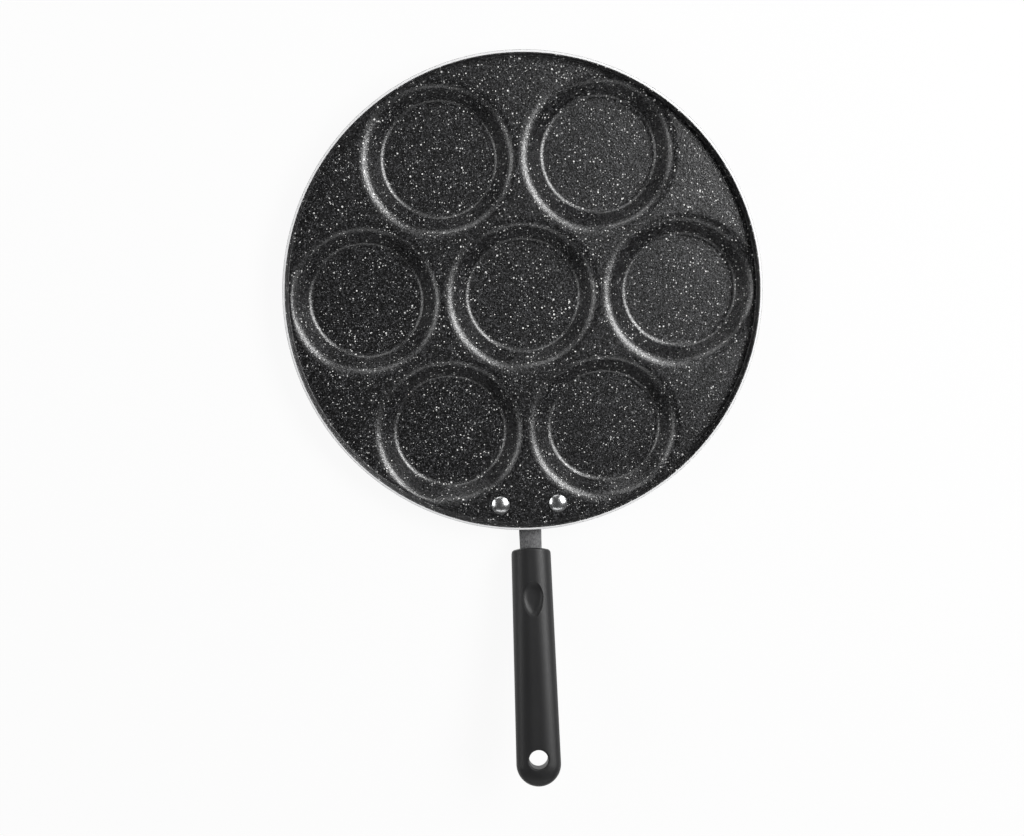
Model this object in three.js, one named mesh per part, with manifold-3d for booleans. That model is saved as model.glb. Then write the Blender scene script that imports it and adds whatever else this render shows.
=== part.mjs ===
// Multi-section egg pan: a round pan pressed from aluminium sheet with one well in the middle and six
// around it, a steel bracket riveted under its floor, and a moulded grip screwed to the bracket's tang.
// Millimetres, +Z up. The origin is the middle of the plane that the wells stand on, and the handle
// points along -Y.

import * as THREE from 'three';
import { mergeVertices } from 'three/addons/utils/BufferGeometryUtils.js';
import Module from 'manifold-3d';

const degrees = THREE.MathUtils.degToRad;
const QUARTER_TURN = Math.PI / 2;

// Pan sheet: a flat floor inside a low drafted wall with a trimmed rim
const SHEET_THICKNESS = 1.8;
const WALL_HEIGHT = 5.5; // from the floor to the rim, inside
const WALL_DRAFT = degrees(4);
const WALL_FOOT_FILLET = 0.7;

// Wells pressed into the floor, with rounded feet and mouths
const OUTER_WELLS = 6;
const WELL_BOTTOM_RADIUS = 27.4; // flat part
const WELL_DEPTH = 8.5;
const WELL_SLOPE = degrees(47);
const WELL_BOTTOM_FILLET = 2.4;
const WELL_MOUTH_FILLET = 2.7;
const WELL_WEB = 4.45; // flat land between neighbouring wells
const EDGE_LAND = 0.1; // flat land between an outer well and the wall's foot

// Rivets: a domed head on the floor, a shank, and a tail formed under the bracket
const RIVET_SPACING = 29.8;
const RIVET_INSET = 8.4; // from the floor's edge
const RIVET_HEAD_RADIUS = 4.65;
const RIVET_HEAD_HEIGHT = 1.9;
const RIVET_HEAD_EDGE = 0.4; // upright edge under the dome
const RIVET_SHANK_RADIUS = 2.4;
const RIVET_TAIL_RADIUS = 3.6;
const RIVET_TAIL_HEIGHT = 1.4;
const RIVET_TAIL_CHAMFER = 0.6;
const RIVET_HOLE_CLEARANCE = 0.3;

// Bracket: a plate under the floor with a lobe at each rivet, and a neck that bends up into a tang
const BRACKET_THICKNESS = 2;
const BRACKET_LOBE_RADIUS = 6;
const NECK_ROOT_WIDTH = 11.8;
const NECK_FILLET = 3.2; // inside corner between plate and neck
const NECK_BEND_INSET = 1; // the bend starts this far inside the rim's edge
const NECK_BEND_RADIUS = 14; // at the middle of the thickness
const NECK_LENGTH = 9; // straight neck between the bend and the grip
const HANDLE_RISE = degrees(14);
const TANG_WIDTH = 11.3;
const TANG_LENGTH = 34; // inside the grip

// Grip: a bar that widens and thins towards a round end
const GRIP_LENGTH = 122.6;
const GRIP_FRONT_WIDTH = 20.4;
const GRIP_END_WIDTH = 23.1;
const GRIP_FRONT_HEIGHT = 16;
const GRIP_END_HEIGHT = 11;
const GRIP_EDGE_HEIGHT = 7; // height of the rounding that crowns the grip, at the front
const GRIP_EDGE_WIDTH = 9; // width of the same rounding, in from each side
const GRIP_FRONT_BOW = 1; // how far the front face bulges
const GRIP_FRONT_CORNER = 2;

// Thumb dimple: an egg-shaped hollow in the top of the grip
const DIMPLE_INSET = 26.3; // from the front to its middle
const DIMPLE_LENGTH = 18.8;
const DIMPLE_WIDTH = 12.3; // at the level of the grip's crown
const DIMPLE_DEPTH = 2.2;
const DIMPLE_TAPER = 0.13; // how much narrower it gets towards the grip's end

// Hanging hole through the end of the grip
const HANG_HOLE_RADIUS = 4.9;
const HANG_HOLE_ROUND = 0.8;
const HANG_HOLE_INSET = 14.4; // from the end of the grip

// Screw from below, with a split washer under its head and a square nut over the tang
const SCREW_INSET = 14; // from the grip's front
const SCREW_SHANK_RADIUS = 2;
const SCREW_HEAD_RADIUS = 3.5;
const SCREW_HEAD_HEIGHT = 2.2;
const SCREW_HEAD_ROUND = 0.9;
const SCREW_CROSS_LENGTH = 4;
const SCREW_CROSS_WIDTH = 1;
const SCREW_CROSS_DEPTH = 1.1;
const SCREW_RECESS_DEPTH = 4.5; // from the grip's underside to the washer's seat
const RECESS_CLEARANCE = 0.6; // around the screw's head
const WASHER_THICKNESS = 0.9;
const WASHER_SPLIT = 1.2;
const NUT_WIDTH = 7;
const NUT_THICKNESS = 2.4;

// Gap between pieces that sit against each other in the handle
const FIT_GAP = 0.3;

// Facets
const PAN_SEGMENTS = 72;
const WELL_SEGMENTS = 30;
const ROUND_SEGMENTS = 20; // rivets, screw and holes
const FILLET_STEPS = 2;
const CROWN_STEPS = 4;

// Heights and radii that follow from the sizes above
const wellFloorZ = SHEET_THICKNESS;
const floorZ = wellFloorZ + WELL_DEPTH;
const rimZ = floorZ + WALL_HEIGHT;
const undersideZ = floorZ - SHEET_THICKNESS;
const wellMouthRadius = WELL_BOTTOM_RADIUS + WELL_DEPTH / Math.tan(WELL_SLOPE)
  + (WELL_BOTTOM_FILLET + WELL_MOUTH_FILLET) * Math.tan(WELL_SLOPE / 2);
const wellPitch = 2 * wellMouthRadius + WELL_WEB;
const wellRingRadius = wellPitch * Math.max(1, 0.5 / Math.sin(Math.PI / OUTER_WELLS));
const floorRadius = wellRingRadius + wellMouthRadius + EDGE_LAND;
const rimRadius = wallProfile(SHEET_THICKNESS).at(-1).x;
const rivetY = -Math.sqrt((floorRadius - RIVET_INSET) ** 2 - (RIVET_SPACING / 2) ** 2);
const gripEndCentre = GRIP_LENGTH - GRIP_END_WIDTH / 2; // from the front to the centre of the round end

// Stack along the screw, up from the middle of the tang
const slotHalfHeight = BRACKET_THICKNESS / 2 + FIT_GAP;
const nutBottom = slotHalfHeight;
const nutTop = nutBottom + NUT_THICKNESS;
const recessTop = SCREW_RECESS_DEPTH - gripHalfHeight(SCREW_INSET);
const washerTop = recessTop - FIT_GAP;
const washerBottom = washerTop - WASHER_THICKNESS;
const headTop = washerBottom - FIT_GAP;

const wasm = await Module();
wasm.setup();

// A closed three.js geometry as a solid that can be joined and cut
function solid(geometry) {
  geometry.deleteAttribute('normal');
  geometry.deleteAttribute('uv');
  const merged = mergeVertices(geometry);
  const corners = merged.index.array;
  const triangles = [];
  for (let i = 0; i < corners.length; i += 3) {
    const [a, b, c] = corners.slice(i, i + 3);
    // A turned profile leaves triangles without area where it meets its axis
    if (a !== b && b !== c && c !== a) triangles.push(a, b, c);
  }
  return new wasm.Manifold(new wasm.Mesh({
    numProp: 3,
    vertProperties: merged.attributes.position.array,
    triVerts: Uint32Array.from(triangles),
  }));
}

// A named mesh of a finished solid with its own material
function piece(name, body, material) {
  const { vertProperties, triVerts, numProp } = body.getMesh();
  const geometry = new THREE.BufferGeometry();
  geometry.setAttribute('position', new THREE.BufferAttribute(vertProperties, numProp));
  geometry.setIndex(new THREE.BufferAttribute(triVerts, 1));
  geometry.computeVertexNormals();
  const mesh = new THREE.Mesh(geometry, new THREE.MeshStandardMaterial(material));
  mesh.name = name;
  return mesh;
}

// Points along an arc
function arc(x, y, radius, from, to, steps = FILLET_STEPS) {
  return Array.from({ length: steps + 1 }, (_, i) => {
    const angle = from + (to - from) * i / steps;
    return new THREE.Vector2(x + radius * Math.cos(angle), y + radius * Math.sin(angle));
  });
}

function point(x, y) {
  return new THREE.Vector2(x, y);
}

// A profile of radius and height turned about Z
function turned(profile, segments) {
  return solid(new THREE.LatheGeometry(profile, segments).rotateX(QUARTER_TURN));
}

// An outline in X and Y raised along Z between two heights
function raised(shape, bottom, top) {
  const geometry = new THREE.ExtrudeGeometry(shape, { depth: top - bottom, bevelEnabled: false });
  return solid(geometry.translate(0, 0, bottom));
}

// A round pin or hole along Z
function rod(radius, bottom, top) {
  const geometry = new THREE.CylinderGeometry(radius, radius, top - bottom, ROUND_SEGMENTS);
  return solid(geometry.rotateX(QUARTER_TURN).translate(0, 0, (bottom + top) / 2));
}

// A box between two corners
function block(low, high) {
  const [width, length, height] = low.map((value, i) => high[i] - value);
  const [x, y, z] = low.map((value, i) => (value + high[i]) / 2);
  return solid(new THREE.BoxGeometry(width, length, height).translate(x, y, z));
}

// Half section of the wall from the floor's edge to the rim: offset 0 is the inside, and one sheet
// thickness the outside, with both fillets about one centre
function wallProfile(offset) {
  const radius = WALL_FOOT_FILLET + offset;
  const foot = arc(floorRadius, floorZ + WALL_FOOT_FILLET, radius, -QUARTER_TURN, -WALL_DRAFT);
  const top = foot.at(-1);
  return [...foot, point(top.x + (rimZ - top.y) * Math.tan(WALL_DRAFT), rimZ)];
}

// Half section of a well from its middle to its mouth, with the same offset
function wellProfile(offset) {
  const foot = arc(WELL_BOTTOM_RADIUS, wellFloorZ + WELL_BOTTOM_FILLET, WELL_BOTTOM_FILLET + offset,
    -QUARTER_TURN, -QUARTER_TURN + WELL_SLOPE);
  const mouth = arc(wellMouthRadius, floorZ - WELL_MOUTH_FILLET, WELL_MOUTH_FILLET - offset,
    QUARTER_TURN + WELL_SLOPE, QUARTER_TURN);
  return [point(0, wellFloorZ - offset), ...foot, ...mouth];
}

// One well in the middle and the others around it, two of them beside the handle
function wellCentres() {
  const step = 2 * Math.PI / OUTER_WELLS;
  const around = Array.from({ length: OUTER_WELLS }, (_, i) => {
    const angle = -QUARTER_TURN + (i + 0.5) * step;
    return point(wellRingRadius * Math.cos(angle), wellRingRadius * Math.sin(angle));
  });
  return [point(0, 0), ...around];
}

// Rivet places on the floor, left then right of the handle
function rivetCentres() {
  return [-1, 1].map((side) => point(side * RIVET_SPACING / 2, rivetY));
}

function panBody() {
  const dish = turned([point(0, undersideZ), ...wallProfile(SHEET_THICKNESS), point(0, rimZ)], PAN_SEGMENTS);
  const inside = wallProfile(0);
  const mouth = inside.at(-1);
  const overRim = point(mouth.x + WALL_HEIGHT * Math.tan(WALL_DRAFT), rimZ + WALL_HEIGHT);
  const cavity = turned([point(0, floorZ), ...inside, overRim, point(0, overRim.y)], PAN_SEGMENTS);

  const midSheetZ = floorZ - SHEET_THICKNESS / 2;
  const cup = turned([...wellProfile(SHEET_THICKNESS), point(wellMouthRadius, midSheetZ), point(0, midSheetZ)],
    WELL_SEGMENTS);
  const hollow = turned([...wellProfile(0), point(wellMouthRadius, rimZ), point(0, rimZ)], WELL_SEGMENTS);
  const rivetHole = rod(RIVET_SHANK_RADIUS + RIVET_HOLE_CLEARANCE, 0, rimZ);

  let body = dish.subtract(cavity);
  for (const { x, y } of wellCentres()) body = body.add(cup.translate([x, y, 0]));
  for (const { x, y } of wellCentres()) body = body.subtract(hollow.translate([x, y, 0]));
  for (const { x, y } of rivetCentres()) body = body.subtract(rivetHole.translate([x, y, 0]));
  return piece('pan_body', body, { color: 0x26272a, roughness: 0.45, metalness: 0.1 });
}

// A rivet with its origin where its axis meets the floor
function rivet(name, { x, y }) {
  const domeHeight = RIVET_HEAD_HEIGHT - RIVET_HEAD_EDGE;
  const domeRadius = (RIVET_HEAD_RADIUS ** 2 + domeHeight ** 2) / (2 * domeHeight);
  const domeCentreZ = RIVET_HEAD_HEIGHT - domeRadius;
  const domeStart = Math.asin((RIVET_HEAD_EDGE - domeCentreZ) / domeRadius);
  const tailTop = -SHEET_THICKNESS - BRACKET_THICKNESS;
  const tailBottom = tailTop - RIVET_TAIL_HEIGHT;
  const profile = [
    point(0, tailBottom),
    point(RIVET_TAIL_RADIUS - RIVET_TAIL_CHAMFER, tailBottom),
    point(RIVET_TAIL_RADIUS, tailBottom + RIVET_TAIL_CHAMFER),
    point(RIVET_TAIL_RADIUS, tailTop),
    point(RIVET_SHANK_RADIUS, tailTop),
    point(RIVET_SHANK_RADIUS, 0),
    point(RIVET_HEAD_RADIUS, 0),
    ...arc(0, domeCentreZ, domeRadius, domeStart, QUARTER_TURN),
  ];
  const mesh = piece(name, turned(profile, ROUND_SEGMENTS), { color: 0xc9cbcd, roughness: 0.25, metalness: 1 });
  mesh.position.set(x, y, floorZ);
  return mesh;
}

// Middle line of the bracket seen from the side, as distance out along -Y and height
const bracketMidZ = undersideZ - BRACKET_THICKNESS / 2;
const bendStart = rimRadius - NECK_BEND_INSET;
const bendEnd = point(bendStart + NECK_BEND_RADIUS * Math.sin(HANDLE_RISE),
  bracketMidZ + NECK_BEND_RADIUS * (1 - Math.cos(HANDLE_RISE)));
const alongTang = point(Math.cos(HANDLE_RISE), Math.sin(HANDLE_RISE));
const gripFront = bendEnd.clone().addScaledVector(alongTang, NECK_LENGTH);
const tangEnd = gripFront.clone().addScaledVector(alongTang, TANG_LENGTH);

// Side view of the bracket's strip: flat under the floor, a bend, then the rising tang
function bracketSide() {
  const half = BRACKET_THICKNESS / 2;
  const upwards = point(-alongTang.y, alongTang.x);
  const innerEnd = -rivetY - BRACKET_LOBE_RADIUS;
  const bendCentreZ = bracketMidZ + NECK_BEND_RADIUS;
  const bendTo = -QUARTER_TURN + HANDLE_RISE;
  return new THREE.Shape([
    point(innerEnd, bracketMidZ - half),
    ...arc(bendStart, bendCentreZ, NECK_BEND_RADIUS + half, -QUARTER_TURN, bendTo),
    tangEnd.clone().addScaledVector(upwards, -half),
    tangEnd.clone().addScaledVector(upwards, half),
    ...arc(bendStart, bendCentreZ, NECK_BEND_RADIUS - half, bendTo, -QUARTER_TURN),
    point(innerEnd, bracketMidZ + half),
  ]);
}

// Plan of the bracket: the two lobes and the bar between them, then the neck and the tang
function bracketPlan() {
  const lobeX = RIVET_SPACING / 2;
  const neckX = NECK_ROOT_WIDTH / 2;
  const tangX = TANG_WIDTH / 2;
  const barY = rivetY - BRACKET_LOBE_RADIUS;
  const filletY = barY - NECK_FILLET;
  const right = [
    ...arc(lobeX, rivetY, BRACKET_LOBE_RADIUS, QUARTER_TURN, -QUARTER_TURN, ROUND_SEGMENTS / 2),
    ...arc(neckX + NECK_FILLET, filletY, NECK_FILLET, QUARTER_TURN, Math.PI),
    point(tangX, -gripFront.x),
    point(tangX, -tangEnd.x - BRACKET_THICKNESS),
  ];
  const left = right.map(({ x, y }) => point(-x, y)).reverse();
  return new THREE.Shape([...right, ...left]);
}

function handleBracket() {
  const width = RIVET_SPACING + 2 * BRACKET_LOBE_RADIUS;
  const sideways = new THREE.Matrix4().makeBasis(
    new THREE.Vector3(0, -1, 0), new THREE.Vector3(0, 0, 1), new THREE.Vector3(-1, 0, 0));
  const strip = new THREE.ExtrudeGeometry(bracketSide(), { depth: width, bevelEnabled: false });
  strip.applyMatrix4(sideways).translate(width / 2, 0, 0);

  const rivetHole = rod(RIVET_SHANK_RADIUS + RIVET_HOLE_CLEARANCE, 0, rimZ);
  const screwHole = rod(SCREW_SHANK_RADIUS + FIT_GAP, -BRACKET_THICKNESS, BRACKET_THICKNESS)
    .translate([0, -SCREW_INSET, 0])
    .rotate([-THREE.MathUtils.radToDeg(HANDLE_RISE), 0, 0])
    .translate([0, -gripFront.x, gripFront.y]);

  let body = solid(strip).intersect(raised(bracketPlan(), 0, tangEnd.y + BRACKET_THICKNESS));
  for (const { x, y } of rivetCentres()) body = body.subtract(rivetHole.translate([x, y, 0]));
  body = body.subtract(screwHole);
  return piece('handle_bracket', body, { color: 0x6d6e70, roughness: 0.45, metalness: 0.9 });
}

// Half the grip's height at a distance from its front
function gripHalfHeight(distance) {
  return THREE.MathUtils.lerp(GRIP_FRONT_HEIGHT, GRIP_END_HEIGHT, distance / GRIP_LENGTH) / 2;
}

// The grip as a bar with rounded long edges and a round end. Its front runs on past the front face
// by the width of the rounding, and is cut to shape afterwards.
function gripBar() {
  const frontX = GRIP_FRONT_WIDTH / 2;
  const endX = GRIP_END_WIDTH / 2;
  const spare = 2 * GRIP_EDGE_WIDTH;
  const outline = new THREE.Shape([
    point(frontX, spare),
    point(-frontX, spare),
    point(-frontX, 0),
    ...arc(0, -gripEndCentre, endX, Math.PI, 2 * Math.PI, ROUND_SEGMENTS / 2),
    point(frontX, 0),
  ]);
  const bar = new THREE.ExtrudeGeometry(outline, {
    depth: GRIP_FRONT_HEIGHT - 2 * GRIP_EDGE_HEIGHT,
    bevelThickness: GRIP_EDGE_HEIGHT,
    bevelSize: GRIP_EDGE_WIDTH,
    bevelOffset: -GRIP_EDGE_WIDTH,
    bevelSegments: CROWN_STEPS,
  });
  bar.translate(0, 0, GRIP_EDGE_HEIGHT - GRIP_FRONT_HEIGHT / 2);
  // Thin the bar towards its end
  const position = bar.attributes.position;
  for (let i = 0; i < position.count; i += 1) {
    const thinning = gripHalfHeight(-position.getY(i)) / gripHalfHeight(0);
    position.setZ(i, position.getZ(i) * thinning);
  }
  return solid(bar);
}

// Everything behind the grip's front face, which bulges a little and has rounded corners
function gripFrontCut() {
  const halfWidth = GRIP_FRONT_WIDTH / 2 - GRIP_FRONT_CORNER;
  const outerX = GRIP_END_WIDTH;
  const bowRadius = (halfWidth ** 2 + GRIP_FRONT_BOW ** 2) / (2 * GRIP_FRONT_BOW);
  const bowAngle = Math.asin(halfWidth / bowRadius);
  const cornerY = -GRIP_FRONT_BOW - GRIP_FRONT_CORNER;
  const right = [
    ...arc(0, -bowRadius, bowRadius, QUARTER_TURN, QUARTER_TURN - bowAngle),
    ...arc(halfWidth, cornerY, GRIP_FRONT_CORNER, QUARTER_TURN, 0).slice(1),
    point(outerX, cornerY),
    point(outerX, -GRIP_LENGTH - GRIP_END_WIDTH),
  ];
  const left = right.slice(1).map(({ x, y }) => point(-x, y)).reverse();
  return raised(new THREE.Shape([...right, ...left].reverse()), -GRIP_FRONT_HEIGHT, GRIP_FRONT_HEIGHT);
}

// The part of an egg that dips below the grip's top: its cross-section there has the dimple's length
// and width, and its lowest point the dimple's depth
function dimpleEgg() {
  const height = 2 * DIMPLE_DEPTH;
  const spread = 1 / Math.sqrt(1 - (1 - DIMPLE_DEPTH / height) ** 2);
  const egg = new THREE.SphereGeometry(1, ROUND_SEGMENTS, ROUND_SEGMENTS / 2).rotateX(QUARTER_TURN);
  const position = egg.attributes.position;
  for (let i = 0; i < position.count; i += 1) {
    position.setX(i, position.getX(i) * (1 + DIMPLE_TAPER * position.getY(i)));
  }
  egg.scale(spread * DIMPLE_WIDTH / 2, spread * DIMPLE_LENGTH / 2, height);
  egg.translate(0, -DIMPLE_INSET, gripHalfHeight(DIMPLE_INSET) + height - DIMPLE_DEPTH);
  return solid(egg);
}

// The hanging hole's hollow, with both mouths rounded
function hangHole() {
  const distance = GRIP_LENGTH - HANG_HOLE_INSET;
  const half = gripHalfHeight(distance);
  const mouth = HANG_HOLE_RADIUS + HANG_HOLE_ROUND;
  const lower = arc(mouth, HANG_HOLE_ROUND - half, HANG_HOLE_ROUND, -QUARTER_TURN, -Math.PI);
  const upper = arc(mouth, half - HANG_HOLE_ROUND, HANG_HOLE_ROUND, Math.PI, QUARTER_TURN);
  const profile = [
    point(0, -GRIP_FRONT_HEIGHT),
    point(mouth, -GRIP_FRONT_HEIGHT),
    ...lower,
    ...upper,
    point(mouth, GRIP_FRONT_HEIGHT),
    point(0, GRIP_FRONT_HEIGHT),
  ];
  return turned(profile, ROUND_SEGMENTS).translate([0, -distance, 0]);
}

// The slot for the tang, the channel that the nut slides in through, and the screw's hole and recess
function fastenerHollows() {
  const slotX = TANG_WIDTH / 2 + FIT_GAP;
  const channelX = NUT_WIDTH / 2 + FIT_GAP;
  const recessRadius = SCREW_HEAD_RADIUS + RECESS_CLEARANCE;
  const slot = block([-slotX, -TANG_LENGTH - FIT_GAP, -slotHalfHeight], [slotX, GRIP_FRONT_BOW, slotHalfHeight]);
  const channel = block([-channelX, -SCREW_INSET - channelX, 0], [channelX, GRIP_FRONT_BOW, nutTop + FIT_GAP]);
  const hole = rod(SCREW_SHANK_RADIUS + FIT_GAP, -GRIP_FRONT_HEIGHT, 0).translate([0, -SCREW_INSET, 0]);
  const recess = rod(recessRadius, -GRIP_FRONT_HEIGHT, recessTop).translate([0, -SCREW_INSET, 0]);
  return slot.add(channel).add(hole).add(recess);
}

function handleGrip() {
  const body = gripBar()
    .intersect(gripFrontCut())
    .subtract(dimpleEgg())
    .subtract(hangHole())
    .subtract(fastenerHollows());
  return piece('handle_grip', body, { color: 0x2e2e30, roughness: 0.5, metalness: 0 });
}

function handleScrew() {
  const headBottom = headTop - SCREW_HEAD_HEIGHT;
  const profile = [
    point(0, headBottom),
    ...arc(SCREW_HEAD_RADIUS - SCREW_HEAD_ROUND, headBottom + SCREW_HEAD_ROUND, SCREW_HEAD_ROUND,
      -QUARTER_TURN, 0),
    point(SCREW_HEAD_RADIUS, headTop),
    point(SCREW_SHANK_RADIUS, headTop),
    point(SCREW_SHANK_RADIUS, nutTop),
    point(0, nutTop),
  ];
  const long = SCREW_CROSS_LENGTH / 2;
  const narrow = SCREW_CROSS_WIDTH / 2;
  const crossTop = headBottom + SCREW_CROSS_DEPTH;
  const below = headBottom - SCREW_CROSS_DEPTH;
  const body = turned(profile, ROUND_SEGMENTS)
    .subtract(block([-long, -narrow, below], [long, narrow, crossTop]))
    .subtract(block([-narrow, -long, below], [narrow, long, crossTop]));
  const mesh = piece('handle_screw', body, { color: 0x9b9da0, roughness: 0.35, metalness: 1 });
  mesh.position.y = -SCREW_INSET;
  return mesh;
}

function springWasher() {
  const inner = SCREW_SHANK_RADIUS + FIT_GAP;
  const splitAngle = Math.asin(WASHER_SPLIT / 2 / SCREW_HEAD_RADIUS);
  const ring = new THREE.Shape([
    ...arc(0, 0, SCREW_HEAD_RADIUS, splitAngle, 2 * Math.PI - splitAngle, ROUND_SEGMENTS),
    ...arc(0, 0, inner, 2 * Math.PI - splitAngle, splitAngle, ROUND_SEGMENTS),
  ]);
  const mesh = piece('spring_washer', raised(ring, washerBottom, washerTop),
    { color: 0x55575a, roughness: 0.4, metalness: 1 });
  mesh.position.y = -SCREW_INSET;
  return mesh;
}

function squareNut() {
  const half = NUT_WIDTH / 2;
  const body = block([-half, -half, nutBottom], [half, half, nutTop])
    .subtract(rod(SCREW_SHANK_RADIUS + FIT_GAP, nutBottom - FIT_GAP, nutTop + FIT_GAP));
  const mesh = piece('square_nut', body, { color: 0xa3a5a8, roughness: 0.35, metalness: 1 });
  mesh.position.y = -SCREW_INSET;
  return mesh;
}

// Grip and fasteners in the tang's own frame, where -Y runs along the tang from the grip's front
function handle() {
  const group = new THREE.Group();
  group.add(handleGrip(), handleScrew(), springWasher(), squareNut());
  group.position.set(0, -gripFront.x, gripFront.y);
  group.rotation.x = -HANDLE_RISE;
  return group;
}

const [leftRivet, rightRivet] = rivetCentres();
const eggPan = new THREE.Group();
eggPan.add(
  panBody(),
  handleBracket(),
  rivet('rivet_left', leftRivet),
  rivet('rivet_right', rightRivet),
  handle(),
);

export default eggPan;
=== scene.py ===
import math

import bmesh
import bpy
import numpy as np
from mathutils import Euler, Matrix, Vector


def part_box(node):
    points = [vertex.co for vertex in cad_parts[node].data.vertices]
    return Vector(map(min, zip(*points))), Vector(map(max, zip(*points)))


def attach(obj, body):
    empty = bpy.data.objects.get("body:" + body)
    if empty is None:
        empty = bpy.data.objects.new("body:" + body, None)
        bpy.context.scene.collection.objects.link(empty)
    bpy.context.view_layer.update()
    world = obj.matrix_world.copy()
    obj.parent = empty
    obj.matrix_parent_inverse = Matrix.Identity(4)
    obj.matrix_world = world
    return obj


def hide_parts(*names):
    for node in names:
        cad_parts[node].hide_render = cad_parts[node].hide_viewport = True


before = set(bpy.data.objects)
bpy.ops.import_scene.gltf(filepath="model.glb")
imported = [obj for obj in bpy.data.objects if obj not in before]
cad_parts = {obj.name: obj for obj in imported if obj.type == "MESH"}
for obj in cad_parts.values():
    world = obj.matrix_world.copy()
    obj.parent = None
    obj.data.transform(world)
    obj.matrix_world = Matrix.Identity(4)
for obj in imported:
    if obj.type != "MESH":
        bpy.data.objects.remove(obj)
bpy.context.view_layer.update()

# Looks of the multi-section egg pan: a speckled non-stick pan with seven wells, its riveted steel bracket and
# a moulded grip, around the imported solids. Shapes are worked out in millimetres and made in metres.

MM = 0.001  # metres
QUARTER = math.pi / 2
FULL_TURN = 2 * math.pi
TINY = 1e-9  # keeps a division clear of zero

# Pan sheet
SHEET = 1.8
RIM_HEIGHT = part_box("pan_body")[1].z / MM
RIM_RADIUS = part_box("pan_body")[1].x / MM
WALL_HEIGHT = 5.5
WALL_DRAFT = math.radians(4)
WALL_FOOT_FILLET = 0.7
WALL_FOOT_ROUND = 0.25  # radius inside, where the wall meets the floor
LIP_INNER_ROUND = 0.3
LIP_OUTER_ROUND = 0.55
COAT_ON_LIP = 0.6  # how far the coating runs out over the lip

# Wells
OUTER_WELLS = 6
WELL_BOTTOM_RADIUS = 27.4
WELL_DEPTH = 8.5
WELL_SLOPE = math.radians(47)
WELL_BOTTOM_FILLET = 2.4
WELL_FOOT_ROUND = 4.0  # radius inside, where the coating gathers over the fillet
WELL_MOUTH_FILLET = 2.7
WELL_MOUTH_RUN = 2.6  # how far inside its corner the mouth starts to round
WELL_SHOULDER = 40.2  # radius at which the mouth's rounding runs out, where there is room
WELL_WEB = 4.45
EDGE_LAND = 0.1

# Rivets
RIVET_HEAD_RADIUS = 4.65
RIVET_HEAD_HEIGHT = 1.9
RIVET_HEAD_EDGE = 0.4
RIVET_SHANK_RADIUS = 2.4
RIVET_TAIL_RADIUS = 3.6
RIVET_TAIL_HEIGHT = 1.4
RIVET_TAIL_ROUND = 0.6

# Bracket
BRACKET_THICKNESS = 2.0
BRACKET_CORNER = 0.35
BRACKET_LOBE_RADIUS = 6.0
BRACKET_SHOULDER_RUN = 0.3  # how far the shoulder leans out on its way to the neck
NECK_ROOT_WIDTH = 11.8
NECK_FILLET = 3.2
NECK_BEND_INSET = 1.0
NECK_BEND_RADIUS = 14.0
NECK_LENGTH = 9.0
HANDLE_RISE = math.radians(14)
TANG_WIDTH = 11.3
TANG_LENGTH = 34.0

# Grip
GRIP_LENGTH = 122.6
GRIP_FRONT_WIDTH = 20.4
GRIP_END_WIDTH = 23.1
GRIP_FRONT_HEIGHT = 16.0
GRIP_END_HEIGHT = 11.0
GRIP_EDGE_HEIGHT = 7.0
GRIP_EDGE_WIDTH = 9.0
GRIP_FRONT_BOW = 1.0
GRIP_FRONT_CORNER = 2.0
GRIP_FRONT_ROUND = 0.5
GRIP_FRONT_FADE = 6.0  # how far back the rows still follow the bowed front
DIMPLE_INSET = 26.3
DIMPLE_LENGTH = 18.8
DIMPLE_WIDTH = 10.8
DIMPLE_DEPTH = 2.0
DIMPLE_STEEPNESS = 4  # power at which it drops from its edge to its level middle
DIMPLE_TAPER = 0.13
HANG_HOLE_RADIUS = 4.9
HANG_HOLE_ROUND = 0.8
HANG_HOLE_INSET = 14.4

# Screw and washer under the grip
SCREW_INSET = 14.0
SCREW_SHANK_RADIUS = 2.0
SCREW_HEAD_RADIUS = 3.5
SCREW_HEAD_HEIGHT = 2.2
SCREW_HEAD_ROUND = 0.9
CROSS_LENGTH = 4.0
CROSS_WIDTH = 1.0
CROSS_DEPTH = 1.1
CROSS_END_SLOPE = 0.5  # length over which a bar's ends slope
CROSS_SIDE_SLOPE = 0.2  # and its sides
RECESS_DEPTH = 4.5
RECESS_CLEARANCE = 0.6
WASHER_THICKNESS = 0.9
WASHER_SPLIT = 1.2
NUT_THICKNESS = 2.4
FIT_GAP = 0.3

# Heights and radii that follow from the sizes above
FLOOR_Z = RIM_HEIGHT - WALL_HEIGHT
WELL_FLOOR_Z = FLOOR_Z - WELL_DEPTH
UNDERSIDE_Z = FLOOR_Z - SHEET
WELL_MOUTH_RADIUS = (WELL_BOTTOM_RADIUS + WELL_DEPTH / math.tan(WELL_SLOPE)
                     + (WELL_BOTTOM_FILLET + WELL_MOUTH_FILLET) * math.tan(WELL_SLOPE / 2))
WELL_PITCH = 2 * WELL_MOUTH_RADIUS + WELL_WEB
WELL_STEP = FULL_TURN / OUTER_WELLS  # angle from one outer well to the next
FLOOR_RADIUS = WELL_PITCH + WELL_MOUTH_RADIUS + EDGE_LAND

# Where the handle starts, as distance out along -Y and height
BRACKET_MID_Z = UNDERSIDE_Z - BRACKET_THICKNESS / 2
BEND_START = RIM_RADIUS - NECK_BEND_INSET
BEND_END_OUT = BEND_START + NECK_BEND_RADIUS * math.sin(HANDLE_RISE)
BEND_END_Z = BRACKET_MID_Z + NECK_BEND_RADIUS * (1 - math.cos(HANDLE_RISE))
GRIP_FRONT_OUT = BEND_END_OUT + NECK_LENGTH * math.cos(HANDLE_RISE)
GRIP_FRONT_Z = BEND_END_Z + NECK_LENGTH * math.sin(HANDLE_RISE)
GRIP_END_CENTRE = GRIP_LENGTH - GRIP_END_WIDTH / 2

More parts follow.
